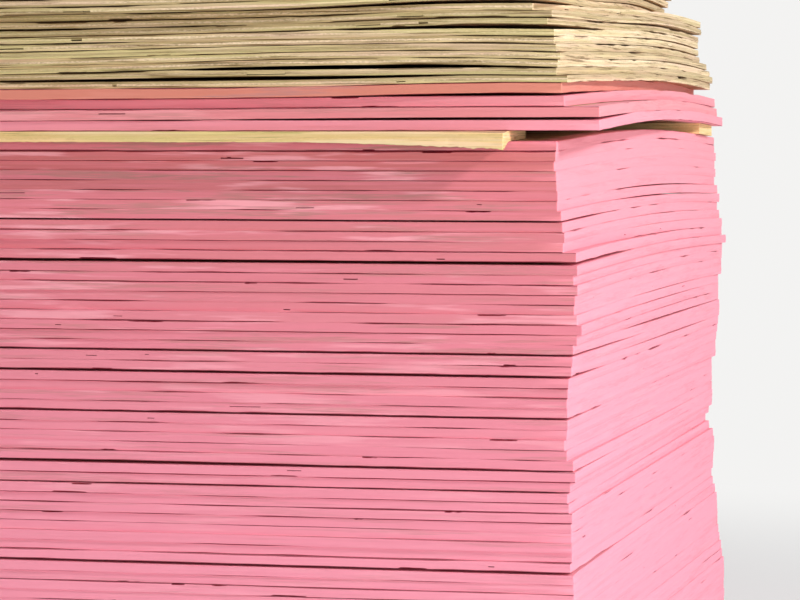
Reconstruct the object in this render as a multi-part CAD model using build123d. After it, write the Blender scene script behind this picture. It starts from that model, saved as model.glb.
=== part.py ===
from build123d import *
import math
import os
import random

# A bundled stack of plywood sheets, in millimetres.
# X runs along the long side, -Y is the front and Z is up from the floor.

# Sheets
sheet_length = 2440.0
sheet_depth = 1220.0
painted_thickness = 11.4
upper_painted_thickness = 12.2
bare_thickness = 7.9
rest_gap = 0.3  # left between two sheets that lie on each other

# How many sheets lie in each part of the stack
main_count = 66
upper_count = 4
bare_count = 14
sheets_per_node = 2  # the main sheets are written two to a file

# Spacer strips between the main stack and the upper bundle
front_strip_thickness = 12.3
front_strip_width = 125.0
front_strip_length = 2320.0
front_strip_overhang = 38.0  # how far it stands out of the front
front_strip_end_inset = 58.0  # from the right end of the sheets
back_strip_thickness = 15.5
back_strip_width = 110.0
back_strip_length = 2300.0
back_strip_inset = 70.0  # from the back edge of the sheets
back_strip_end_inset = 4.0
lift_start = 0.45  # share of the depth behind which the thicker back strip lifts the bundle
lift_end = 1.05

# The top of the main stack is crowned across its depth, and less so further down
crown_height = 13.0
back_rise = 2.0
crown_count = 23  # sheets over which the crown builds up
back_spread = 1.4  # how much wider the gaps above the strips are at the back

# Openings between warped sheets, by the sheet over them counted down from the top
# of its bundle: how wide, how far the middle is from the right end, how far it
# reaches to each side, and the share of the depth at which it has closed
all_along = 90000.0
main_openings = {
    8: (1.8, 900, all_along, 0.50),
    12: (3.2, 420, all_along, 0.45),
    21: (1.8, 380, all_along, 0.60),
    23: (2.4, 360, all_along, 0.35),
    27: (1.8, 200, all_along, 0.40),
    32: (3.4, 700, 1300, 0.60),
    34: (1.6, 160, all_along, 0.40),
    42: (2.6, 400, all_along, 0.50),
    49: (2.6, 900, all_along, 0.60),
    54: (3.2, 300, all_along, 0.65),
    60: (2.2, 500, all_along, 0.55),
}
upper_openings = {
    1: (3.2, 60, 300, 0.35),
    3: (3.2, 40, 620, 0.35),
}
bare_openings = {
    4: (3.8, 120, 330, 0.40),
    7: (4.8, 0, 420, 0.45),
    12: (4.4, 260, 400, 0.60),
    13: (4.2, 400, 480, 0.60),
}
relief_count = 5  # sheets over an opening that together lie level again
stiff_relief = 1.0  # share of an opening that they make up for
limp_relief = 0.6  # the same for the thin bare sheets, which stay wavy

# How far sheets stand out to the right, at the front and at the back,
# by sheet counted down from the top of its bundle
main_lean = {
    1: (-1, -12),
    3: (-5, -10),
    6: (-2, -10),
    8: (3, -4),
    9: (6, -7),
    11: (7, 0),
    12: (20, -1),
    13: (22, 6),
    14: (18, 1),
    15: (23, 0),
    17: (18, -1),
    19: (28, -5),
    20: (21, -4),
    23: (17, -3),
    24: (12, -5),
    27: (12, -9),
    28: (13, -14),
    30: (8, -12),
    33: (22, -12),
    35: (11, -22),
    37: (17, -10),
    42: (17, -13),
    44: (21, -7),
    50: (14, -1),
    53: (18, 6),
    66: (14, 10),
}
upper_lean = {1: (5, -43), 2: (8, -12), 3: (49, -8), 4: (48, 1)}
bare_lean = {
    1: (-14, -78),
    4: (-14, -92),
    5: (-32, -33),
    6: (-8, -31),
    7: (-14, -35),
    8: (-5, -37),
    10: (-4, -33),
    11: (2, -23),
    13: (-2, -15),
    14: (10, -17),
}
lean_scatter = 1.5  # of each sheet's own, either way
front_scatter = 1.6

# Spans between the points that a sheet's curved face passes through, closer
# together towards the right end
column_count = 12
column_crowding = 1.5
row_count = 5
straight_within = 0.1  # a sheet that bends less than this along X has straight lines along it
flat_within = 0.01  # a sheet that bends less than this is made flat

half_length = sheet_length / 2
half_depth = sheet_depth / 2
scatter = random.Random(4)


def smooth(t):
    t = min(max(t, 0.0), 1.0)
    return t * t * (3 - 2 * t)


def depth_share(y):
    return (y + half_depth) / sheet_depth


def crown(y):
    share = depth_share(y)
    return crown_height * math.sin(math.pi * share) + back_rise * smooth(share)


def opening_shape(opening, x, y):
    # 1 at the middle of an opening on the front edge, 0 where it has closed
    middle, reach, closed_at = opening[1:]
    away = abs(half_length - middle - x) / reach
    along = 0.5 + 0.5 * math.cos(math.pi * min(away, 1.0))
    return along * (1 - smooth(depth_share(y) / closed_at))


def gap_plan(count, openings, relief, swell):
    # For each sheet counted down from the top: what opens the gap under it
    plan = [{"opening": openings.get(n), "relief": [], "swell": swell(n)} for n in range(1, count + 1)]
    for n, opening in openings.items():
        above = [gap for gap in plan[: n - 1] if gap["opening"] is None]
        for gap in above[-relief_count:]:
            gap["relief"].append((relief * opening[0] / relief_count, opening))
    return plan


def gap_height(gap, x, y):
    height = rest_gap + gap["swell"](y)
    if gap["opening"]:
        height += gap["opening"][0] * opening_shape(gap["opening"], x, y)
    for share, opening in gap["relief"]:
        height += share * (1 - opening_shape(opening, x, y))
    return height


def interpolate(knots, n):
    # Front and back lean of sheet n from the nearest knots above and below it
    before = max(k for k in knots if k <= n)
    after = min(k for k in knots if k >= n)
    share = (n - before) / (after - before) if after > before else 0.0
    return [a + share * (b - a) for a, b in zip(knots[before], knots[after])]


def off_chord(line):
    # How far the points of a line lie above or below the chord between its ends
    start, end = line[0], line[-1]
    span = (end - start).length
    return max(abs(p.Z - start.Z - (end.Z - start.Z) * (p - start).length / span) for p in line)


def bent_plate(corner, turn, length, depth, thickness, underside):
    # A plate of even thickness over a curved bed, from its right front corner
    left = Vector(-math.cos(turn), -math.sin(turn), 0)
    back = Vector(-math.sin(turn), math.cos(turn), 0)
    grid = []
    for row in range(row_count + 1):
        line = []
        for column in range(column_count + 1):
            along = left * (length * (column / column_count) ** column_crowding)
            point = corner + along + back * (depth * row / row_count)
            line.append(Vector(point.X, point.Y, underside(point.X, point.Y)))
        grid.append(line)
    if max(off_chord(line) for line in grid) < straight_within:
        grid = [[line[0], line[-1]] for line in grid]
    heights = [point.Z for line in grid for point in line]
    if max(heights) - min(heights) < flat_within:
        corners = [grid[0][0], grid[0][-1], grid[-1][-1], grid[-1][0]]
        level = sum(heights) / len(heights)
        face = Face(Wire.make_polygon([Vector(point.X, point.Y, level) for point in corners]))
    else:
        face = Face.make_surface_from_array_of_points(grid)
    return Solid.extrude(face, Vector(0, 0, thickness))


def sheet(lean, thickness, underside):
    # A full sheet, turned a little where it stands out more at one edge
    front, back = [value + scatter.uniform(-lean_scatter, lean_scatter) for value in lean]
    turn = math.atan((front - back) / sheet_depth)
    corner = Vector(half_length + front, -half_depth + scatter.uniform(-front_scatter, front_scatter), 0)
    return bent_plate(corner, turn, sheet_length, sheet_depth, thickness, underside)


def bundle(count, thickness, openings, relief, swell, lean_knots, bed):
    # Sheets laid from the bottom up over a bed, and the bed that their top makes
    plan = gap_plan(count, openings, relief, swell)
    sheets = []
    for laid in range(count):
        n = count - laid

        def underside(x, y, laid=laid, n=n):
            gaps = sum(gap_height(gap, x, y) for gap in plan[n - 1 : count - 1])
            return bed(x, y) + laid * thickness + gaps

        sheets.append(sheet(interpolate(lean_knots, n), thickness, underside))

    def top(x, y):
        gaps = sum(gap_height(gap, x, y) for gap in plan[: count - 1])
        return bed(x, y) + count * thickness + gaps

    return sheets, top


def spacer_strip(inset, end_inset, width, length, thickness, bed):
    # A strip along X whose front edge lies inset behind the front of the sheets
    corner = Vector(half_length - end_inset, -half_depth + inset, 0)
    return bent_plate(corner, 0.0, length, width, thickness, bed)


def floor(x, y):
    return 0.0


# The main stack, whose crown grows towards its top
def main_swell(n):
    share = 1 / crown_count if n <= crown_count else 0.0
    return lambda y: share * crown(y)


main_sheets, main_top = bundle(
    main_count, painted_thickness, main_openings, stiff_relief, main_swell, main_lean, floor
)


# Two spacer strips on it
def strip_bed(x, y):
    return main_top(x, y) + rest_gap


back_strip_front = sheet_depth - back_strip_inset - back_strip_width
front_strip = spacer_strip(
    -front_strip_overhang,
    front_strip_end_inset,
    front_strip_width,
    front_strip_length,
    front_strip_thickness,
    strip_bed,
)
back_strip = spacer_strip(
    back_strip_front,
    back_strip_end_inset,
    back_strip_width,
    back_strip_length,
    back_strip_thickness,
    strip_bed,
)


# The upper bundle on the strips, lifted more and more towards the back one's front edge and on
def lift_share(share):
    return smooth((share - lift_start) / (lift_end - lift_start))


def upper_bed(x, y):
    lift = (back_strip_thickness - front_strip_thickness) / lift_share(back_strip_front / sheet_depth)
    lifted = front_strip_thickness + lift * lift_share(depth_share(y))
    return strip_bed(x, y) + lifted + rest_gap


def upper_swell(n):
    return lambda y: back_spread * smooth(depth_share(y))


upper_sheets, upper_top = bundle(
    upper_count, upper_painted_thickness, upper_openings, limp_relief, upper_swell, upper_lean, upper_bed
)


def bare_bed(x, y):
    return upper_top(x, y) + rest_gap


bare_sheets, bare_top = bundle(
    bare_count, bare_thickness, bare_openings, limp_relief, upper_swell, bare_lean, bare_bed
)

# One file for each strip and each upper sheet, one for every two main sheets
os.makedirs("parts", exist_ok=True)
for first in range(0, main_count, sheets_per_node):
    pair = main_sheets[first : first + sheets_per_node]
    name = "_".join(f"{first + n + 1:02d}" for n in range(len(pair)))
    export_step(Compound(children=pair), f"parts/painted_sheets_{name}.step")
for n, plate in enumerate(upper_sheets):
    export_step(plate, f"parts/upper_painted_sheet_{n + 1}.step")
for n, plate in enumerate(bare_sheets):
    export_step(plate, f"parts/bare_sheet_{n + 1:02d}.step")
export_step(front_strip, "parts/front_spacer_strip.step")
export_step(back_strip, "parts/back_spacer_strip.step")
print("top of the stack", round(bare_top(0, 0), 1))
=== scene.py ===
# A stack of plywood sheets with pink sprayed edges, bare sheets and spacer strips
import math

import bpy
import numpy as np
from mathutils import Matrix, Vector, geometry


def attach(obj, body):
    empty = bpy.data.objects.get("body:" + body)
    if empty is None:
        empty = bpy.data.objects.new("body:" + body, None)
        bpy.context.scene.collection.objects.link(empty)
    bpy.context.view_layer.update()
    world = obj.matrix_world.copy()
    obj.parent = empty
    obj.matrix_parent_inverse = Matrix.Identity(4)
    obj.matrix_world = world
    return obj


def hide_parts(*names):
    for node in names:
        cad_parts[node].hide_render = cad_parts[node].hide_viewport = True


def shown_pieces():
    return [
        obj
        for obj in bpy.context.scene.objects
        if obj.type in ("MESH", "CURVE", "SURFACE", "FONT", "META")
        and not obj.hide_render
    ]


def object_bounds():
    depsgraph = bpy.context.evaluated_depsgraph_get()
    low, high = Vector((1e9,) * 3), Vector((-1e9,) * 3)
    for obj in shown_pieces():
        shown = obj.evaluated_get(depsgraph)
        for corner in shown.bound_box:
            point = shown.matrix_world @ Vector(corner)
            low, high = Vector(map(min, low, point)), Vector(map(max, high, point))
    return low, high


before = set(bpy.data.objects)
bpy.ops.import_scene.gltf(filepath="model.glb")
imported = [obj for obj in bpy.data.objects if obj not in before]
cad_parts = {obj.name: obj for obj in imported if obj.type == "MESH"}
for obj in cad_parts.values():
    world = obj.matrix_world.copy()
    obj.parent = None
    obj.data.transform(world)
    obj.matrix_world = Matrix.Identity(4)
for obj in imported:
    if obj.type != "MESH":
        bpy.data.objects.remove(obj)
cadLow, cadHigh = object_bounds()
print("frame loaded,", len(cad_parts), "nodes")


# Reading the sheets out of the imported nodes

reading = {
    "tiny": 1e-12, "sameHeight": 1e-5, "smoothing": 1e-7, "digits": 6, "levelFace": 0.5,
    "longEdge": 0.4, "offLine": 0.004, "splits": 9,
}


def thinPlate(samples):
    # A smooth height over x, y that passes through the sampled points
    xy, z = samples[:, :2], samples[:, 2]
    middle = z.mean()
    if np.ptp(z) < reading["sameHeight"]:
        return lambda at: np.full(len(at), middle)

    def pull(at):
        away = np.linalg.norm(at[:, None] - xy[None], axis=2)
        return away**2 * np.log(np.maximum(away, reading["tiny"]))

    plane = np.column_stack([np.ones(len(xy)), xy])
    stiffness = pull(xy) + reading["smoothing"] * np.eye(len(xy))
    system = np.block([[stiffness, plane], [plane.T, np.zeros((3, 3))]])
    weights = np.linalg.solve(system, np.append(z - middle, np.zeros(3)))
    return lambda at: middle + pull(at) @ weights[:-3] + weights[-3] + at @ weights[-2:]


def meshArrays(mesh):
    # Joined points and triangles of a node
    points = np.empty(len(mesh.vertices) * 3)
    mesh.vertices.foreach_get("co", points)
    mesh.calc_loop_triangles()
    corners = np.empty(len(mesh.loop_triangles) * 3, np.int32)
    mesh.loop_triangles.foreach_get("vertices", corners)
    rounded = np.round(points.reshape(-1, 3), reading["digits"])
    points, joined = np.unique(rounded, axis=0, return_inverse=True)
    return points, joined.reshape(-1)[corners].reshape(-1, 3)


def splitSolids(points, faces):
    # One list of faces for each solid of a node, the lowest first
    label = np.arange(len(points))
    while True:
        lowest = label[faces].min(axis=1)
        before = label.copy()
        np.minimum.at(label, faces.reshape(-1), np.repeat(lowest, 3))
        if (label == before).all():
            break
    groups = [faces[label[faces[:, 0]] == one] for one in np.unique(label[faces[:, 0]])]
    return sorted(groups, key=lambda group: points[group.reshape(-1), 2].mean())


def readSheet(points, faces):
    # Corner, directions, sizes and underside of one plate
    a, b, c = (points[faces[:, i]] for i in range(3))
    normal = np.cross(b - a, c - a)
    upward = normal[:, 2] / np.maximum(np.linalg.norm(normal, axis=1), reading["tiny"])
    lower = faces[upward < -reading["levelFace"]]
    under = points[np.unique(lower)]
    over = points[np.unique(faces[upward > reading["levelFace"]])]

    def extreme(x, y):
        return under[np.argmax(under[:, 0] * x + under[:, 1] * y), :2]

    leftFront, rightFront, leftBack = extreme(-1, -1), extreme(1, -1), extreme(-1, 1)
    along, across = rightFront - leftFront, leftBack - leftFront
    length, depth = np.linalg.norm(along), np.linalg.norm(across)
    # A sheet that is straight along X has points at its ends alone, so more are set between them
    edges = np.unique(np.sort(lower[:, [0, 1, 1, 2, 2, 0]].reshape(-1, 2), axis=1), axis=0)
    runs = points[edges[:, 1]] - points[edges[:, 0]]
    parallel = np.abs(runs[:, :2] @ across) / depth < reading["offLine"]
    straight = (np.linalg.norm(runs, axis=1) > reading["longEdge"]) & parallel
    shares = np.linspace(0, 1, reading["splits"])[1:-1]
    between = [points[edges[straight, 0]] + runs[straight] * share for share in shares]
    samples = np.unique(np.round(np.vstack([under, *between]), reading["digits"]), axis=0)
    bed = thinPlate(samples)
    thickness = float(np.median(over[:, 2] - bed(over[:, :2])))
    return {"origin": leftFront, "along": along / length, "across": across / depth,
            "length": length, "depth": depth, "thickness": thickness, "bed": bed}


def sheetsOf(nodeName):
    points, faces = meshArrays(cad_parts[nodeName].data)
    return [readSheet(points, group) for group in splitSolids(points, faces)]


nodeNames = sorted(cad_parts)
stack = {name: sheetsOf(name) for name in nodeNames}
mainNodes = [name for name in nodeNames if name.startswith("painted_sheets")]
upperNodes = [name for name in nodeNames if name.startswith("upper_painted")]
bareNodes = [name for name in nodeNames if name.startswith("bare_sheet")]


def linkSheets(names, firstSeam):
    # Gives each sheet, from the bottom up, the number of its lower seam, its level and its neighbours
    sheets = [one for name in names for one in stack[name]]
    for number, one in enumerate(sheets):
        one["seam"], one["level"] = firstSeam + number, number / len(sheets)
        one["above"] = sheets[number + 1] if number + 1 < len(sheets) else None
        one["below"] = sheets[number - 1] if number else None
    return sheets


mainSheets = linkSheets(mainNodes, firstSeam=0)
bundleSheets = linkSheets(upperNodes + bareNodes, firstSeam=200)
linkSheets(["front_spacer_strip"], firstSeam=400)
linkSheets(["back_spacer_strip"], firstSeam=410)
print("sheets read,", len(mainSheets), "in the main stack and", len(bundleSheets), "above")


# Random lines, and the layout of the edges

# What each kind of line adds to the seed, and the count, shortest and longest of its waves
waveKinds = {
    "seam": (9000, 7, 0.14, 1.3), "wear": (1, 10, 0.05, 0.5), "wander": (2, 8, 0.04, 1.2),
    "relief": (10, 10, 0.03, 0.4), "plyLine": (30, 6, 0.05, 0.8), "rag": (60, 14, 0.006, 0.05),
}


def waves(kind, seed, at):
    # A smooth random line along at, in metres, about -1 to 1
    seedShift, count, shortest, longest = waveKinds[kind]
    rng = np.random.default_rng(seed + seedShift)
    lengths = np.exp(rng.uniform(math.log(shortest), math.log(longest), count))
    phases = rng.uniform(0, 2 * math.pi, count)
    sizes = rng.uniform(0.5, 1.0, count)
    # Sizes that together reach about 1
    sizes = sizes / np.linalg.norm(sizes) * 1.1
    return sum(size * np.cos(2 * math.pi * at / length + phase)
               for size, length, phase in zip(sizes, lengths, phases))


def easeStep(low, high, value):
    share = np.clip((value - low) / (high - low), 0, 1)
    return share * share * (3 - 2 * share)


def sideOfSheet(sheet, side):
    # Start, direction, outward direction and length of an edge, counter-clockwise from the front
    along, across = sheet["along"], sheet["across"]
    start, length, depth = sheet["origin"], sheet["length"], sheet["depth"]
    return [(start, along, -across, length),
            (start + along * length, across, along, depth),
            (start + along * length + across * depth, -along, across, length),
            (start + across * depth, -across, -along, depth)][side]


layout = {
    "jitter": 0.3, "startMargin": 0.01, "endMargin": 0.02, "closest": 1.5e-4, "digits": 5,
    # How fast the random lines run along X and Y
    "lineAxes": (1.0, 1.7),
    "voidScales": [0.4, 1.0, 1.0, 2.0], "voidShares": (0.3, 0.7), "voidSlack": 5e-5,
    "upperChips": 0.5, "chipLumps": (0.4, 1.0), "chipShares": [0, 0.08, 0.3, 0.5, 0.75, 0.92, 1],
}


def edgeColumns(sheet, look, rng):
    # Where the edges get a column of points, and their voids and chips
    columns, voids, chips = [], [], []
    for side in range(4):
        length = sideOfSheet(sheet, side)[3]
        share = look["endShare"] if side % 2 else 1.0
        spots = [0.0, look["cornerRound"], length - look["cornerRound"]]
        count = int(length / look["columnStep"])
        jitter = rng.uniform(-layout["jitter"], layout["jitter"], count - 1)
        spots += list((np.arange(1, count) + jitter) * length / count)
        for _ in range(rng.poisson(look["voidsPerMetre"] * length * share)):
            size = rng.uniform(*look["voidLength"]) * rng.choice(layout["voidScales"])
            start = rng.uniform(layout["startMargin"], length - layout["endMargin"] - size)
            voids.append((side, start, start + size, rng.integers(1, look["plies"] - 1),
                          rng.uniform(*look["voidHeight"]), rng.uniform(*look["voidDepth"])))
            spots += [start - look["wall"], start, *(start + size * inner for inner in layout["voidShares"]),
                      start + size, start + size + look["wall"]]
        for _ in range(rng.poisson(look["chipsPerMetre"] * length * share)):
            size = rng.uniform(*look["chipLength"])
            start = rng.uniform(layout["startMargin"], length - layout["endMargin"] - size)
            chips.append((side, start, size, rng.random() < layout["upperChips"],
                          rng.uniform(*look["chipDepth"]), rng.uniform(*layout["chipLumps"], 3)))
            spots += list(start + size * np.array(layout["chipShares"]))
        if look["sag"] and side < 2:
            reach = look["sagReach"] if side else length
            spots += list(np.arange(look["ragStep"], reach, look["ragStep"]))
        spots = np.unique(np.round(np.clip(spots, 0, length - look["cornerRound"]), layout["digits"]))
        keep = np.append(True, np.diff(spots) > layout["closest"])
        columns += [(side, run) for run in spots[keep]]
    sides, runs = (np.array(values) for values in zip(*columns))
    return sides, runs, voids, chips


def placeColumns(sheet, sides, runs):
    # Where each column stands, which way is out of the sheet there and how far the corners are
    edges = [sideOfSheet(sheet, side) for side in range(4)]
    starts, directions, outs, lengths = (np.array(values) for values in zip(*edges))
    corner = runs == 0.0
    place = starts[sides] + directions[sides] * runs[:, None]
    out = outs[sides]
    out[corner] += outs[sides[corner] - 1]
    toEnd = lengths[sides] - runs
    return {"sides": sides, "runs": runs, "corner": corner, "place": place, "out": out, "toEnd": toEnd,
            "toCorner": np.minimum(runs, toEnd), "worldRun": place @ np.array(layout["lineAxes"])}


# Wear of the seams and edges

wear = {
    # Seams of the main stack that stand out in the photo, counted from the floor up
    "wornSeams": {65: 1.5, 54: 1.35, 45: 1.4, 43: 1.5, 39: 1.4, 34: 1.45, 24: 1.35},
    "plainSeams": (0.45, 1.15), "wornOpening": 2.0, "strengthSeed": 9700, "scatterSeed": 9500,
    "arrisLeast": 0.05, "arrisUneven": 0.4, "arrisTallest": 0.85, "easedShare": 0.45, "chipInset": 0.3,
    "nearCorner": 0.1, "atCorner": 0.4, "cornerSlack": 1.01, "diagonal": 0.8,
    "seamShade": 0.3, "litSeam": 0.8, "shallowChip": 0.001,
}


def seamStrength(seam):
    # How worn the edges beside a seam are, with a few seams that show much more than the rest
    plain = np.random.default_rng(wear["strengthSeed"] + seam).uniform(*wear["plainSeams"])
    return wear["wornSeams"].get(seam, plain)


def seamState(seam, room, edge, look):
    # How open the seam under sheet number seam is at each column, and 0 where paint bridges it
    scatter = np.random.default_rng(wear["scatterSeed"] + seam).uniform(-1, 1) * look["seamScatter"]
    bias = scatter + wear["wornOpening"] * max(seamStrength(seam) - wear["plainSeams"][1], 0)
    level = waves("seam", seam, edge["worldRun"]) + bias
    closed = np.where(edge["sides"] % 2 == 0, look["closedFront"], look["closedEnd"])
    state = easeStep(closed, closed + look["seamSoftness"], level)
    return np.maximum(state, easeStep(*look["alwaysOpen"], room))


def seamWear(sheet, look, seed, edge, chips):
    # The room, the opening, the chips and the worn arris of the seams under and over the sheet
    sides, runs, place, thickness = edge["sides"], edge["runs"], edge["place"], sheet["thickness"]
    bed = sheet["bed"](place)
    under = over = np.full(len(runs), 1.0)
    if sheet["below"] is not None:
        under = bed - sheet["below"]["bed"](place) - sheet["below"]["thickness"]
    if sheet["above"] is not None:
        over = sheet["above"]["bed"](place) - bed - thickness
    chipped = np.zeros((2, len(runs)))
    for side, start, size, upper, deep, lumps in chips:
        share = (runs - start) / size
        inside = (sides == side) & (share > 0) & (share < 1)
        shape = np.interp(share, layout["chipShares"], [0, lumps[0], 1, lumps[1], lumps[2], 0.5, 0])
        chip = chipped[int(upper)]
        chip[inside] = np.maximum(chip[inside], deep * shape[inside])
    uneven = waves("wear", seed, edge["worldRun"])
    tallest = wear["arrisTallest"] * thickness / look["plies"]
    result = []
    for number, (room, chip) in enumerate(zip((under, over), chipped)):
        seam = sheet["seam"] + number
        opened = seamState(seam, room, edge, look)
        growth = wear["arrisLeast"] + (1 - wear["arrisLeast"]) * opened
        sway = wear["arrisUneven"] * (1 if number else -1)
        arris = look["arris"] * seamStrength(seam) * growth * (1 + sway * uneven)
        arris = np.minimum(arris + look["chipTall"] * chip, tallest)
        result.append({"room": room, "opened": opened, "chip": chip, "arris": arris})
    return result


def easedSteps(sheet, other, edge, look):
    # How far each column stands out past the end of a neighbour, up to the step that paint smooths
    eased = np.zeros(len(edge["runs"]))
    if other is not None:
        for side in (1, 3):
            start, _, outward, _ = sideOfSheet(other, side)
            there = edge["sides"] == side
            eased[there] = np.clip((edge["place"][there] - start) @ outward, 0, look["easedStep"])
    return eased


def edgeRows(sheet, look, seed, edge, voids, under, over):
    # Inset, height share and painted shade of every row of points, from the lower face up to the upper one
    sides, runs, corner, worldRun = (edge[key] for key in ("sides", "runs", "corner", "worldRun"))
    plies, thickness = look["plies"], sheet["thickness"]
    inset, shares, hollowShade = (np.zeros((2 * plies + 2, len(runs))) for _ in range(3))
    step = look["plyStep"] / thickness
    shares[1] = under["arris"] / thickness
    shares[-2] = 1 - over["arris"] / thickness
    shares[-1] = 1
    wander = look["wander"] * (0.5 + 0.5 * waves("wander", seed, worldRun))
    for ply in range(plies):
        relief = look["relief"] * (0.5 + 0.5 * waves("relief", seed + ply, worldRun))
        inset[1 + 2 * ply] = inset[2 + 2 * ply] = np.maximum(wander + relief, 0)
        if ply:
            line = ply / plies + look["plyWave"] * waves("plyLine", seed + ply, worldRun)
            shares[1 + 2 * ply] = line + step
            shares[2 * ply] = line - step
    # Voids are sunk and painted dark inside: painted shade
    for side, start, end, ply, tall, deep in voids:
        inside = (sides == side) & (runs > start - layout["voidSlack"]) & (runs < end + layout["voidSlack"])
        low, high = 1 + 2 * ply, 2 + 2 * ply
        shares[high, inside] = shares[low, inside] + tall / thickness
        shares[high + 1, inside] = shares[high, inside] + step
        inset[low : high + 1, inside] += deep
        hollowShade[low : high + 1, inside] = 1.0

    # Paint smooths the small steps at the ends
    reach = wear["easedShare"]
    inset += (easedSteps(sheet, sheet["below"], edge, look) * np.clip(1 - shares / reach, 0, 1)
              + easedSteps(sheet, sheet["above"], edge, look) * np.clip((shares - (1 - reach)) / reach, 0, 1))
    inset[1] += wear["chipInset"] * under["chip"]
    inset[-2] += wear["chipInset"] * over["chip"]
    inset[0] = inset[1] + under["arris"] + under["chip"]
    inset[-1] = inset[-2] + over["arris"] + over["chip"]
    nearCorner = edge["toCorner"] < look["cornerRound"] * wear["cornerSlack"]
    inset[:, nearCorner & ~corner] += look["cornerRound"] * wear["nearCorner"]
    inset[:, corner] += look["cornerRound"] * wear["atCorner"]
    # No column reaches past the diagonal of its corner
    inset = np.clip(inset, 0, wear["diagonal"] * np.where(corner, look["cornerRound"], edge["toCorner"]))

    # Painted shade: the rows at open seams and torn chips are darkened, less where a wide opening above lets
    # light onto the lower sheet's edge
    lit = easeStep(*look["alwaysOpen"], over["room"])
    tornShade = [look["chipShade"] * easeStep(0, wear["shallowChip"], seam["chip"]) for seam in (under, over)]
    hollowShade[0] = np.maximum(under["opened"], tornShade[0])
    hollowShade[-1] = np.maximum(over["opened"] * (1 - wear["litSeam"] * lit), tornShade[1])
    hollowShade[1] = np.maximum(hollowShade[1], np.maximum(wear["seamShade"] * under["opened"], tornShade[0]))
    hollowShade[-2] = np.maximum(hollowShade[-2], np.maximum(wear["seamShade"] * over["opened"] * (1 - lit), tornShade[1]))
    return inset, shares, hollowShade


def sagEdge(heights, look, seed, edge):
    # The right end of the front edge droops and its lower veneer is torn
    sides, runs = edge["sides"], edge["runs"]
    fromEnd = np.where(sides == 0, edge["toEnd"], 0.0)
    droop = np.clip(1 - fromEnd / look["sagLength"], 0, 1) ** look["sagBend"]
    ragged = 0.5 + 0.5 * waves("rag", seed, runs)
    endFade = np.where(sides == 1, 1 - easeStep(0, look["sagReach"], runs), 0.0)
    fade = np.where(sides == 0, 1.0, endFade)
    heights[:2] -= fade * (look["sag"] * droop + look["rag"] * ragged * (look["ragLeast"] + droop))
    heights[-2:] -= fade * look["sagTop"] * droop**3


# Meshes of the sheets

meshing = {"joinedWithin": 1e-7, "sharpDegrees": 32}


def edgeBand(sheet, look, rng, sides, rowCount):
    # The quads around the four edges, and their marks
    count, plies = len(sides), look["plies"]
    row, column = np.meshgrid(np.arange(rowCount - 1), np.arange(count), indexing="ij")
    row, column = row.reshape(-1), column.reshape(-1)
    after = (column + 1) % count
    quads = np.column_stack([row * count + column, row * count + after,
                             (row + 1) * count + after, (row + 1) * count + column])
    ply = np.clip((row - 1) // 2, 0, plies - 1)
    side = sides[column]
    longSide, crossPly = side % 2 == 0, ply % 2 == 1
    endGrain = np.where(longSide, crossPly, ~crossPly).astype(float)
    plyTone = rng.uniform(0, 1, (4, plies))[side, ply]
    # The long edges are painted darker and redder than the ends, most at the top of the stack: painted shade, for
    # the shadow that the bundle above casts
    thinness = longSide * (look["leastShade"] + (1 - look["leastShade"]) * sheet["level"] ** 2)
    marks = {"endGrain": list(endGrain), "plyTone": list(plyTone), "thinness": list(thinness),
             "skin": [0] * len(quads)}
    return [tuple(quad) for quad in quads.tolist()], marks


def innerSpots(sheet, look, upper):
    # Places inside a face, along and across it: a ring where the overspray ends, and a coarse grid
    length, depth, reach = sheet["length"], sheet["depth"], look["sprayReach"]
    # Lower faces lie hidden, so theirs is coarser
    step = look["faceStep"] if upper else look["faceStep"] * 2
    spots = []
    for along in np.linspace(reach, length - reach, int(length / step)):
        spots += [(along, reach), (along, depth - reach)]
    for across in np.linspace(reach, depth - reach, int(depth / step))[1:-1]:
        spots += [(reach, across), (length - reach, across)]
    alongLines, acrossLines = look["faceLines"]
    for along in np.linspace(0, length, alongLines)[1:-1]:
        spots += [(along, across) for across in np.linspace(0, depth, acrossLines)[1:-1]]
    return np.array(spots)


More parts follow.
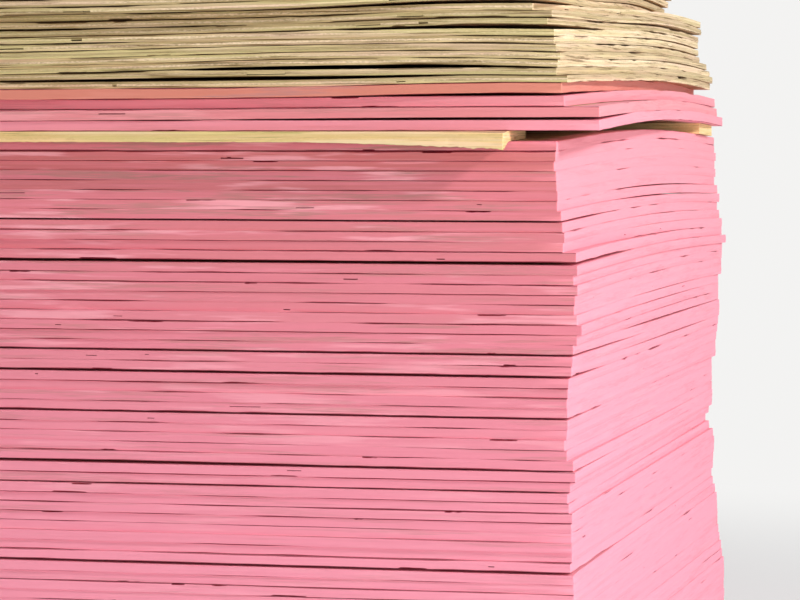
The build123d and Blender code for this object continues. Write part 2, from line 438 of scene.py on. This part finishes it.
def plateMesh(sheet, look, seed):
    # Points, faces and their marks for one sheet with worn, voided ply edges
    rng = np.random.default_rng(seed)
    sides, runs, voids, chips = edgeColumns(sheet, look, rng)
    edge = placeColumns(sheet, sides, runs)
    under, over = seamWear(sheet, look, seed, edge, chips)
    inset, shares, hollowShade = edgeRows(sheet, look, seed, edge, voids, under, over)
    thickness, length, depth = sheet["thickness"], sheet["length"], sheet["depth"]
    rowCount, count = inset.shape
    rings = edge["place"][None] - edge["out"][None] * inset[:, :, None]
    flatRings = rings.reshape(-1, 2)
    heights = sheet["bed"](flatRings).reshape(rowCount, -1) + shares * thickness
    heights[-2:] += np.clip(over["room"] - look["hairline"], 0, look["bridgeFill"]) * (1 - over["opened"])
    if look["sag"]:
        sagEdge(heights, look, seed, edge)
    points = [np.column_stack([flatRings, heights.reshape(-1)])]
    faces, marks = edgeBand(sheet, look, rng, sides, rowCount)
    pointMarks = {"hollowShade": [hollowShade.reshape(-1)], "overspray": [np.ones(rowCount * count)]}

    # The two faces, filled in from the ring of the edges
    total = rowCount * count
    for upper in (False, True):
        inner = innerSpots(sheet, look, upper)
        places = sheet["origin"] + inner[:, :1] * sheet["along"] + inner[:, 1:] * sheet["across"]
        outline = rings[-1 if upper else 0]
        flat = [Vector(place) for place in np.vstack([outline, places]).tolist()]
        made = geometry.delaunay_2d_cdt(flat, [], [list(range(count))], 1, meshing["joinedWithin"])
        used = np.array([origin[0] if origin else -1 for origin in made[3]])
        ring = np.arange(count) + (rowCount - 1) * count * upper
        lookup = np.concatenate([ring, total + np.arange(len(inner))])
        points.append(np.column_stack([places, sheet["bed"](places) + thickness * upper]))
        total += len(inner)
        toEdge = np.minimum.reduce([inner[:, 0], length - inner[:, 0], inner[:, 1], depth - inner[:, 1]])
        pointMarks["hollowShade"].append(np.zeros(len(inner)))
        pointMarks["overspray"].append(np.clip(1 - toEdge / look["sprayReach"], 0, 1))
        tone = rng.uniform(0, 1)
        for face in made[2]:
            ids = [int(lookup[used[i]]) for i in face]
            faces.append(tuple(ids if upper else ids[::-1]))
        for key, value in (("endGrain", 0.0), ("plyTone", tone), ("thinness", 0.0), ("skin", 1)):
            marks[key] += [value] * len(made[2])
    return np.vstack(points), faces, marks, {key: np.concatenate(parts) for key, parts in pointMarks.items()}


def joinPlates(name, plates, tones):
    # One object from the meshes of one or more sheets, each with its tone and its hue
    points, faces, marks, pointMarks = [], [], {}, {"sheetTone": [], "sheetHue": []}
    base = 0
    for (platePoints, plateFaces, plateMarks, platePointMarks), (tone, hue) in zip(plates, tones):
        points.append(platePoints)
        faces += [tuple(i + base for i in face) for face in plateFaces]
        base += len(platePoints)
        for key, values in plateMarks.items():
            marks.setdefault(key, []).extend(values)
        for key, values in platePointMarks.items():
            pointMarks.setdefault(key, []).append(values)
        pointMarks["sheetTone"].append(np.full(len(platePoints), tone))
        pointMarks["sheetHue"].append(np.full(len(platePoints), hue))
    mesh = bpy.data.meshes.new(name)
    mesh.from_pydata(np.vstack(points).tolist(), [], faces)
    for key in ("endGrain", "plyTone", "thinness"):
        layer = mesh.attributes.new(key, "FLOAT", "FACE")
        layer.data.foreach_set("value", np.array(marks[key], np.float32))
    for key, values in pointMarks.items():
        layer = mesh.attributes.new(key, "FLOAT", "POINT")
        layer.data.foreach_set("value", np.concatenate(values).astype(np.float32))
    mesh.polygons.foreach_set("material_index", np.array(marks["skin"], np.int32))
    mesh.polygons.foreach_set("use_smooth", np.ones(len(faces), bool))
    mesh.update()
    mesh.set_sharp_from_angle(angle=math.radians(meshing["sharpDegrees"]))
    made = bpy.data.objects.new(name, mesh)
    bpy.context.collection.objects.link(made)
    return made


# Shader maths

class Wire:
    # A socket that works in sums, with each operator adding its node
    def __init__(self, tree, socket):
        self.tree, self.socket = tree, socket

    def maths(self, operation, *others, swap=False):
        values = [self, *others]
        if swap:
            values.reverse()
        return self.tree.add("ShaderNodeMath", {"operation": operation}, dict(enumerate(values)))

    def __add__(self, other):
        return self.maths("ADD", other)

    def __radd__(self, other):
        return self.maths("ADD", other)

    def __sub__(self, other):
        return self.maths("SUBTRACT", other)

    def __rsub__(self, other):
        return self.maths("SUBTRACT", other, swap=True)

    def __mul__(self, other):
        return self.maths("MULTIPLY", other)

    def __rmul__(self, other):
        return self.maths("MULTIPLY", other)

    def between(self, low, high):
        # 0 below low, 1 above high and a soft step in between
        return self.tree.add("ShaderNodeMapRange", {"interpolation_type": "SMOOTHSTEP"},
                             {"Value": self, "From Min": low, "From Max": high})


# How far a shift of 1 moves a pattern along X, Y and Z
patternShift = (37.0, 53.0, 71.0)


class Tree:
    # The nodes of one material, or of the world
    def __init__(self, holder):
        holder.use_nodes = True
        self.holder = holder
        self.nodes, self.links = holder.node_tree.nodes, holder.node_tree.links
        self.shader = self.nodes.get("Principled BSDF")

    def add(self, kind, settings, sockets, out=0):
        node = self.nodes.new(kind)
        for key, value in settings.items():
            setattr(node, key, value)
        for key, value in sockets.items():
            self.feed(node.inputs[key], value)
        return Wire(self, node.outputs[out])

    def feed(self, socket, value):
        if isinstance(value, Wire):
            self.links.new(value.socket, socket)
        elif socket.type == "RGBA" and len(value) == 3:
            socket.default_value = (*value, 1)
        else:
            socket.default_value = value

    def attribute(self, name):
        return self.add("ShaderNodeAttribute", {"attribute_name": name}, {}, out=2)

    def place(self, stretch, shift=None):
        # Object position, scaled apart in each direction and moved by a sheet's tone
        spot = self.add("ShaderNodeTexCoord", {}, {}, out=3)
        spot = self.add("ShaderNodeVectorMath", {"operation": "MULTIPLY"}, {0: spot, 1: stretch})
        if shift is None:
            return spot
        steps = {axis: shift * step for axis, step in enumerate(patternShift)}
        move = self.add("ShaderNodeCombineXYZ", {}, steps)
        return self.add("ShaderNodeVectorMath", {"operation": "ADD"}, {0: spot, 1: move})

    def noise(self, pattern, shift=None, warp=0.0):
        # A pattern is its stretch along X, Y and Z, its detail and its roughness
        stretch, detail, rough = pattern
        return self.add("ShaderNodeTexNoise", {}, {"Vector": self.place(stretch, shift), "Scale": 1.0,
                                                   "Detail": detail, "Roughness": rough, "Distortion": warp})

    def mix(self, share, first, second):
        return self.add("ShaderNodeMix", {"data_type": "RGBA"}, {0: share, 6: first, 7: second}, out=2)

    def finish(self, colour, rough, specular, bump=None, strength=0.0, distance=0.0):
        values = {"Base Color": colour, "Roughness": rough, "Specular IOR Level": specular}
        if bump is not None:
            values["Normal"] = self.add("ShaderNodeBump", {}, {"Strength": strength, "Distance": distance,
                                                               "Height": bump})
        for key, value in values.items():
            self.feed(self.shader.inputs[key], value)
        return self.holder


# Where the painted shade of hollows, chips and open seams turns from the open surface to the dark inside
sunkRange = (0.2, 0.95)


# Pink paint sprayed over the edges of a pile

pinkPaint = {
    # The thin colour is painted shade on the long edges at the top of the stack
    "light": (0.95, 0.34, 0.45), "deep": (0.80, 0.225, 0.315), "thin": (0.55, 0.115, 0.118),
    "thick": (0.97, 0.42, 0.50), "coral": (0.64, 0.225, 0.14), "worn": (0.50, 0.22, 0.205),
    # The void colour is painted shade in voids, chips and open seams
    "voidShade": (0.19, 0.005, 0.018),
    "streaks": ((3, 3, 210), 4.0, 0.62), "specks": ((30, 30, 900), 3.0, 0.6),
    "clouds": ((2.2, 2.2, 6.0), 3.0, 0.5), "smears": ((6.5, 6.5, 95), 3.0, 0.55),
    "patches": ((5, 5, 120), 3.0, 0.6),
    "thinShare": 0.85, "deepRange": (0.42, 0.95), "thickRange": (0.62, 0.74), "patchRange": (0.50, 0.62),
    "speckRange": (0.25, 0.65), "cloudRange": (0.40, 0.72),
    # The share of each colour everywhere, and what it adds where the long edges take painted shade
    "deepShare": (0.12, 1.1), "thickShare": (0.2, 0.9), "wornShare": (0.2, 0.9),
    "specular": 0.3, "bump": 0.3, "bumpHeight": 0.0004,
}


def paintedEdge():
    tree = Tree(bpy.data.materials.new("pinkPaintedEdge"))
    tone, ply, thinness = tree.attribute("sheetTone"), tree.attribute("plyTone"), tree.attribute("thinness")
    hollowShade, hue = tree.attribute("hollowShade"), tree.attribute("sheetHue")
    streak, speck = tree.noise(pinkPaint["streaks"], tone), tree.noise(pinkPaint["specks"], tone)
    cloud, smear = tree.noise(pinkPaint["clouds"]), tree.noise(pinkPaint["smears"], tone + 0.21)
    patch = tree.noise(pinkPaint["patches"], tone)

    def shareOf(name):
        least, added = pinkPaint[name + "Share"]
        return least + thinness * added

    # Painted shade: the long edges near the top take the darker, redder thin colour, for the shadow under the
    # bundle
    colour = tree.mix(thinness * pinkPaint["thinShare"], pinkPaint["light"], pinkPaint["thin"])
    shade = (streak * 0.75 + tone * 0.22 + ply * 0.12 + cloud * 0.25).between(*pinkPaint["deepRange"])
    colour = tree.mix(shade * shareOf("deep"), colour, pinkPaint["deep"])
    drift = (cloud * 0.4 + smear * 0.8).between(*pinkPaint["thickRange"])
    colour = tree.mix(drift * shareOf("thick"), colour, pinkPaint["thick"])
    colour = tree.mix(hue, colour, pinkPaint["coral"])
    worn = patch.between(*pinkPaint["patchRange"]) * speck.between(*pinkPaint["speckRange"])
    worn = worn * (cloud + tone * 0.3).between(*pinkPaint["cloudRange"])
    colour = tree.mix(worn * shareOf("worn"), colour, pinkPaint["worn"])
    # Painted shade in voids, chips and open seams
    sunkShade = hollowShade.between(*sunkRange)
    colour = tree.mix(sunkShade, colour, pinkPaint["voidShade"])
    rough = 0.5 + worn * 0.25 + speck * 0.15 + sunkShade * 0.3
    return tree.finish(colour, rough, pinkPaint["specular"], speck * 0.7 + streak * 0.6,
                       pinkPaint["bump"], pinkPaint["bumpHeight"])


# Bare veneer of the faces, with paint blown in from the edge

veneer = {
    "light": (0.76, 0.55, 0.34), "dark": (0.56, 0.355, 0.19), "late": (0.46, 0.27, 0.13),
    "knot": (0.20, 0.10, 0.05), "spray": (0.92, 0.38, 0.46),
    "field": ((0.42, 1.9, 0.1), 1.6, 0.45), "fieldWarp": 0.5, "ringCount": 95.0,
    "bands": ((0.5, 5, 1), 3.0, 0.6), "lines": ((1.4, 60, 1), 4.0, 0.6), "pores": ((25, 700, 25), 2.0, 0.6),
    "drift": ((60, 60, 60), 3.0, 0.6), "knotStretch": (1.5, 3.4, 1), "knotScale": 1.1,
    "darkRange": (0.45, 1.15), "ringRange": (0.45, 1.0), "knotRange": (0.02, 0.085),
    "poreRange": (0.62, 0.8), "sprayRange": (0.1, 0.6), "knotShare": 0.85, "poreShare": 0.35,
    "specular": 0.3, "bump": 0.25, "bumpHeight": 0.0004,
}


def veneerFace(name, sprayed):
    tree = Tree(bpy.data.materials.new(name))
    tone = tree.attribute("plyTone")
    # Peeled veneer shows its rings as the contours of a slowly changing field
    field = tree.noise(veneer["field"], tone, veneer["fieldWarp"])
    rings = (field * veneer["ringCount"]).maths("SINE") * 0.5 + 0.5
    bands, lines, pores = (tree.noise(veneer[key], tone) for key in ("bands", "lines", "pores"))
    grain = (bands * 0.9 + lines * 0.35 + tone * 0.3).between(*veneer["darkRange"])
    colour = tree.mix(grain, veneer["light"], veneer["dark"])
    colour = tree.mix(rings.between(*veneer["ringRange"]) * (0.2 + bands * 0.5), colour, veneer["late"])
    cells = tree.add("ShaderNodeTexVoronoi", {}, {"Vector": tree.place(veneer["knotStretch"], tone),
                                                  "Scale": veneer["knotScale"]})
    knot = 1 - cells.between(*veneer["knotRange"])
    colour = tree.mix(knot * veneer["knotShare"], colour, veneer["knot"])
    colour = tree.mix(pores.between(*veneer["poreRange"]) * veneer["poreShare"], colour, veneer["late"])
    if sprayed:
        spray = tree.attribute("overspray") + tree.noise(veneer["drift"]) * 0.5 - 0.25
        colour = tree.mix(spray.between(*veneer["sprayRange"]), colour, veneer["spray"])
    return tree.finish(colour, 0.62 + pores * 0.2, veneer["specular"], pores + rings * 0.3,
                       veneer["bump"], veneer["bumpHeight"])


# Sawn edges of unpainted sheets

rawEdgeLook = {
    "light": (0.72, 0.56, 0.295), "dark": (0.30, 0.21, 0.088), "endLight": (0.98, 0.77, 0.53),
    "endDark": (0.33, 0.24, 0.11), "green": (0.68, 0.60, 0.27), "rosy": (0.82, 0.56, 0.42),
    # The void colour is painted shade in voids, chips and open seams
    "litCream": (0.97, 0.76, 0.52), "glue": (0.14, 0.08, 0.025), "voidShade": (0.065, 0.030, 0.008),
    "streaks": ((6, 6, 400), 4.0, 0.65), "specks": ((50, 50, 1300), 3.0, 0.6),
    "cells": ((260, 260, 600), 2.0, 0.6), "blotches": ((2.6, 2.6, 90), 3.0, 0.5),
    "blushes": ((3.4, 3.4, 110), 3.0, 0.5),
    "darkRange": (0.42, 0.72), "greenRange": (0.47, 0.58), "rosyRange": (0.54, 0.64),
    "plyRange": (0.45, 0.95), "glueRange": (0.58, 0.64),
    # The cream share is painted light on the short edges
    "endShare": 0.8, "litCreamShare": 0.4, "rosyShare": 0.45, "plyShare": 0.6, "glueShare": 0.7,
    # The share of green on the short edges, and what the long ones add to it
    "greenShare": (0.25, 0.35),
    "specular": 0.2, "bump": 0.5, "bumpHeight": 0.0005,
}


def rawEdge(name, look):
    tree = Tree(bpy.data.materials.new(name))
    tone, ply = tree.attribute("sheetTone"), tree.attribute("plyTone")
    end, hollowShade, longSide = tree.attribute("endGrain"), tree.attribute("hollowShade"), tree.attribute("thinness")
    streak = tree.noise(look["streaks"], ply + tone)
    speck, cells, blotch = (tree.noise(look[key], tone) for key in ("specks", "cells", "blotches"))
    blush = tree.noise(look["blushes"], tone + 0.37)
    long = tree.mix((streak * 0.9 + speck * 0.2).between(*look["darkRange"]), look["light"], look["dark"])
    cross = tree.mix((cells * 0.4 + streak * 0.7).between(*look["darkRange"]), look["endLight"], look["endDark"])
    colour = tree.mix(end * look["endShare"], long, cross)
    # The short edges are painted paler, as painted light for the stronger light on the ends, and less green than
    # the long ones
    colour = tree.mix(look["litCreamShare"] - longSide * look["litCreamShare"], colour, look["litCream"])
    green = look["greenShare"][0] + longSide * look["greenShare"][1]
    colour = tree.mix(blotch.between(*look["greenRange"]) * green, colour, look["green"])
    colour = tree.mix(blush.between(*look["rosyRange"]) * look["rosyShare"], colour, look["rosy"])
    shade = (ply * 0.6 + tone * 0.5).between(*look["plyRange"])
    colour = tree.mix(shade * look["plyShare"], colour, look["endDark"])
    colour = tree.mix(streak.between(*look["glueRange"]) * look["glueShare"], colour, look["glue"])
    # Painted shade in voids, chips and open seams
    sunkShade = hollowShade.between(*sunkRange)
    colour = tree.mix(sunkShade, colour, look["voidShade"])
    relief = cells * end + speck * 0.8 + streak * 0.6
    return tree.finish(colour, 0.7 + speck * 0.1 + sunkShade * 0.15, look["specular"], relief,
                       look["bump"], look["bumpHeight"])


# The strips' edges are paler wood and partly painted light, for the light that the protruding front strip catches
stripEdgeLook = dict(
    rawEdgeLook, litCream=(0.93, 0.68, 0.38), light=(0.91, 0.63, 0.325), dark=(0.81, 0.56, 0.24),
    endLight=(0.91, 0.64, 0.33), endDark=(0.66, 0.47, 0.185), green=(0.70, 0.62, 0.25),
    rosy=(0.93, 0.70, 0.50), glue=(0.40, 0.33, 0.12))

edgePaint = paintedEdge()
paintedFace = veneerFace("veneerWithOverspray", True)
bareFace = veneerFace("bareVeneer", False)
bareEdge = rawEdge("sawnEdge", rawEdgeLook)
stripEdge = rawEdge("sawnStripEdge", stripEdgeLook)
print("materials made")


# The painted sheets

paintedLook = {
    "plies": 5, "columnStep": 0.034, "cornerRound": 0.0014, "endShare": 0.2, "arris": 0.0009,
    "plyStep": 0.00012, "plyWave": 0.012, "wander": 0.0003, "relief": 0.00012, "wall": 0.0004,
    "closedFront": -1.1, "closedEnd": 0.85, "seamSoftness": 1.3, "seamScatter": 0.75,
    "alwaysOpen": (0.0014, 0.0022), "hairline": 0.00002, "bridgeFill": 0.0012, "easedStep": 0.0018,
    "voidsPerMetre": 0.5, "voidLength": (0.005, 0.022), "voidHeight": (0.0004, 0.0010),
    "voidDepth": (0.002, 0.005), "chipsPerMetre": 0.8, "chipLength": (0.01, 0.05),
    "chipDepth": (0.0006, 0.0018), "chipTall": 0.5, "chipShade": 0.95,
    "sprayReach": 0.045, "faceStep": 0.06, "faceLines": (11, 7), "leastShade": 0.0, "sag": 0.0,
}
# The bare sheets, with three plies, whose mark for painted shade on the long edges only tells the long edges from
# the short ones
bareLook = dict(
    paintedLook, plies=3, columnStep=0.024, endShare=0.18, arris=0.0008, plyStep=0.0001, plyWave=0.03,
    wander=0.0005, relief=0.0006, closedFront=-1.0, closedEnd=0.1, alwaysOpen=(0.0020, 0.0032),
    voidsPerMetre=1.6, voidLength=(0.008, 0.04), voidHeight=(0.0005, 0.0012), voidDepth=(0.003, 0.007),
    chipsPerMetre=3.5, chipLength=(0.01, 0.12), chipDepth=(0.0006, 0.0025), chipShade=0.6,
    sprayReach=0.016, leastShade=1.0, easedStep=0.0006)
# The strips
stripLook = dict(
    bareLook, plies=5, columnStep=0.02, arris=0.0004, relief=0.0003, closedFront=0.3, closedEnd=0.3,
    chipsPerMetre=0.5, voidsPerMetre=2.0, sprayReach=0.012)
# The front strip, whose lower edge is torn
tornLook = dict(
    stripLook, sag=0.0074, sagTop=0.0016, sagLength=0.25, sagBend=1.3, sagReach=0.036,
    rag=0.0011, ragLeast=0.3, ragStep=0.004)

# Tone, hue and, for the painted shade on its long edges, the level of each upper sheet, from the bottom up
upperTones = [(0.2, 0.2, 0.25), (0.5, 0.35, 0.6), (0.5, 0.3, 0.45), (0.9, 0.85, 0.85)]
for name, (_, _, level) in zip(upperNodes, upperTones):
    stack[name][0]["level"] = level

# The coral hue that the top sheets of the main stack take is painted shade, for the warmer shade at the top of
# the stack
making = {"toneSeed": 21, "firstSeed": 1000, "nodeSeeds": 50, "sheetSeeds": 25, "topShadeHue": 0.25}
toneRng = np.random.default_rng(making["toneSeed"])
for order, name in enumerate(nodeNames):
    painted = name in mainNodes + upperNodes
    strip = name.endswith("strip")
    look = tornLook if name.startswith("front") else stripLook if strip else paintedLook if painted else bareLook
    plates, tones = [], []
    for number, one in enumerate(stack[name]):
        seed = making["firstSeed"] + order * making["nodeSeeds"] + number * making["sheetSeeds"]
        plates.append(plateMesh(one, look, seed))
        tones.append((toneRng.uniform(0, 1), making["topShadeHue"] * one["level"] ** 3))
    if name in upperNodes:
        tones = [upperTones[upperNodes.index(name)][:2]]
    piece = joinPlates(name + "_sheets" if len(plates) > 1 else name + "_piece", plates, tones)
    edge, face = (edgePaint, paintedFace) if painted else (stripEdge, bareFace) if strip else (bareEdge, bareFace)
    piece.data.materials.append(edge)
    piece.data.materials.append(face)
    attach(piece, "root")
    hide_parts(name)
counts = [sum(len(p.vertices) - 2 for p in o.data.polygons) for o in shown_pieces()]
print("sheets made,", sum(counts), "triangles, at most", max(counts), "in one piece")


# Floor, backdrop and light

studio = {
    "floor": 0.92, "floorRough": 0.95, "floorSpecular": 0.1, "floorSize": 60.0,
    "blendFrom": 1.6, "blendTo": 3.4, "world": 0.25, "backdrop": (0.90, 0.895, 0.885),
}


def seenDirectly(tree):
    # 1 for the camera's rays and for those of reflections and glass, which show the backdrop too
    rays = [tree.add("ShaderNodeLightPath", {}, {}, out=ray)
            for ray in ("Is Camera Ray", "Is Glossy Ray", "Is Transmission Ray")]
    return rays[0].maths("MAXIMUM", rays[1]).maths("MAXIMUM", rays[2])


# The floor takes the shadow near the stack and becomes the backdrop further out
bpy.ops.mesh.primitive_plane_add(size=studio["floorSize"], location=(0, 0, 0))
floor = bpy.context.object
floor.name = "floor"
floorTree = Tree(bpy.data.materials.new("paleFloor"))
floorTree.finish((studio["floor"],) * 3, studio["floorRough"], studio["floorSpecular"])
radius = floorTree.add("ShaderNodeVectorMath", {"operation": "LENGTH"}, {0: floorTree.place((1, 1, 0))}, out=1)
far = radius.between(studio["blendFrom"], studio["blendTo"])
glow = floorTree.add("ShaderNodeEmission", {}, {"Color": studio["backdrop"]})
floorShader = Wire(floorTree, floorTree.shader.outputs[0])
blend = floorTree.add("ShaderNodeMixShader", {}, {0: far * seenDirectly(floorTree), 1: floorShader, 2: glow})
floorTree.feed(floorTree.nodes["Material Output"].inputs["Surface"], blend)
floor.data.materials.append(floorTree.holder)

world = bpy.data.worlds.new("studio")
bpy.context.scene.world = world
skyTree = Tree(world)
light = skyTree.add("ShaderNodeBackground", {}, {"Color": (1, 1, 1), "Strength": studio["world"]})
shown = skyTree.add("ShaderNodeBackground", {}, {"Color": studio["backdrop"]})
sky = skyTree.add("ShaderNodeMixShader", {}, {0: seenDirectly(skyTree), 1: light, 2: shown})
skyTree.feed(skyTree.nodes["World Output"].inputs["Surface"], sky)

# Direction from the middle of the stack, distance, size and power of each lamp
lamps = {
    "key": ((0.83, -0.31, 0.455), 7.5, 0.5, 306.0), "side": ((0.95, -0.30, 0.05), 6.0, 1.6, 46.0),
    "front": ((0.45, -0.88, 0.06), 7.0, 3.0, 148.0), "back": ((-0.55, 0.65, 0.52), 8.0, 4.0, 270.0),
}
middle = (cadLow + cadHigh) / 2
for name, (towards, away, size, power) in lamps.items():
    lamp = bpy.data.lights.new(name + "Light", "AREA")
    lamp.size, lamp.energy = size, power
    made = bpy.data.objects.new(name + "Light", lamp)
    made.location = middle + Vector(towards).normalized() * away
    made.rotation_euler = (made.location - middle).to_track_quat("Z", "Y").to_euler()
    bpy.context.collection.objects.link(made)


# The camera is placed by where the top right front corner of the main stack shows

picture = {
    "width": 800, "height": 600, "focal": 3500.0, "azimuth": 14.2, "down": 2.78,
    "corner": (557.0, 141.5), "pixelsPerMetre": 855.0, "sensor": 36.0, "clipEnd": 200,
}
topSheet = mainSheets[-1]
cornerPlace = topSheet["origin"] + topSheet["along"] * topSheet["length"]
cornerHeight = float(topSheet["bed"](cornerPlace[None])[0]) + topSheet["thickness"]
target = Vector((cornerPlace[0], cornerPlace[1], cornerHeight))
turn, tilt = math.radians(picture["azimuth"]), math.radians(picture["down"])
forward = Vector((-math.sin(turn) * math.cos(tilt), math.cos(turn) * math.cos(tilt), -math.sin(tilt)))
right = Vector((math.cos(turn), math.sin(turn), 0))
up = right.cross(forward)
away = picture["focal"] / picture["pixelsPerMetre"]
acrossPicture = (picture["corner"][0] - picture["width"] / 2) / picture["focal"]
upPicture = (picture["height"] / 2 - picture["corner"][1]) / picture["focal"]
lens = bpy.data.cameras.new("camera")
lens.sensor_width = picture["sensor"]
lens.lens = lens.sensor_width * picture["focal"] / picture["width"]
lens.clip_end = picture["clipEnd"]
camera = bpy.data.objects.new("camera", lens)
camera.location = target - (forward + right * acrossPicture + up * upPicture) * away
camera.rotation_euler = Matrix((right, up, -forward)).transposed().to_euler()
bpy.context.collection.objects.link(camera)
bpy.context.scene.camera = camera
bpy.context.scene.view_settings.view_transform = "Standard"
print("camera at", [round(v, 3) for v in camera.location])
